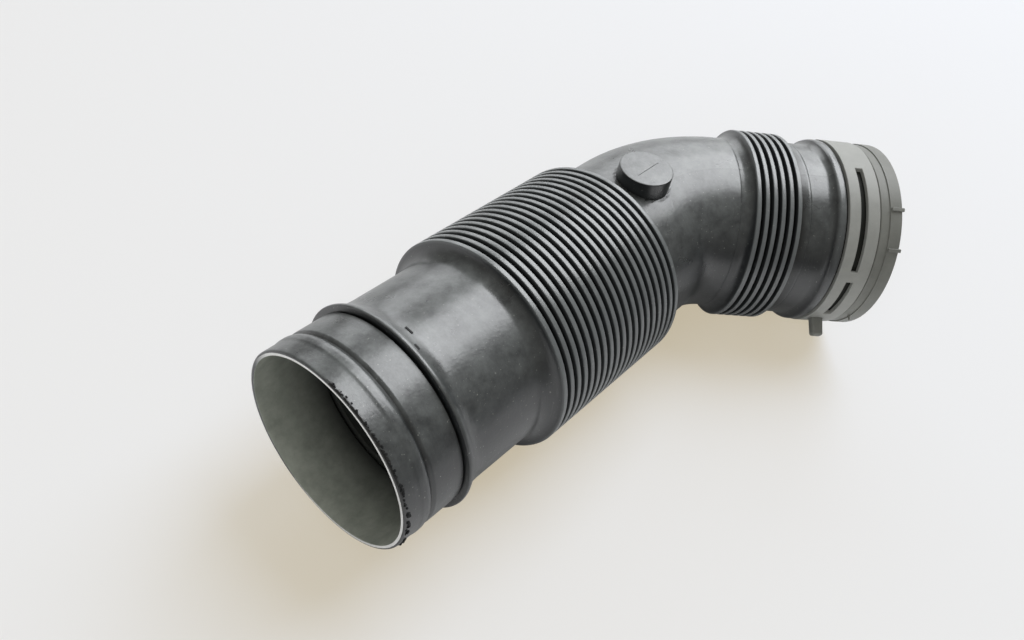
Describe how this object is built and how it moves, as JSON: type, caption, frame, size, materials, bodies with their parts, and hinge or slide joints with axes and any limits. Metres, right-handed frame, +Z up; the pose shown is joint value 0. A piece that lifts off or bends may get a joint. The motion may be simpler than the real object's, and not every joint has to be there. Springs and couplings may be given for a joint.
{
  "type": "car air intake duct",
  "caption": "Moulded elastomer air intake duct: plain inlet mouth with a stop rib, long bellows, angled elbow with a blanked port, short bellows and a slotted-ring push-in coupling.",
  "frame": {"origin": "centre of the inlet mouth, on the plane of its lip", "axes": "+X along the inlet axis into the duct, elbow turning towards -Y in the level plane, +Z up out of that plane; it lies on its side as it comes to rest on a table"},
  "size_m": [0.3014, 0.1457, 0.091],
  "materials": {
    "duct_elastomer": "blow-moulded, satin, scuffed grey",
    "collar_plastic": "moulded dark grey, satin",
    "ring_plastic": "moulded light grey, satin",
    "seal_rubber": "matt black"
  },
  "bodies": {
    "root": {"duct_hose": "duct_elastomer", "coupling_collar": "collar_plastic", "retaining_ring": "ring_plastic", "coupling_seal": "seal_rubber"}
  },
  "joints": []
}
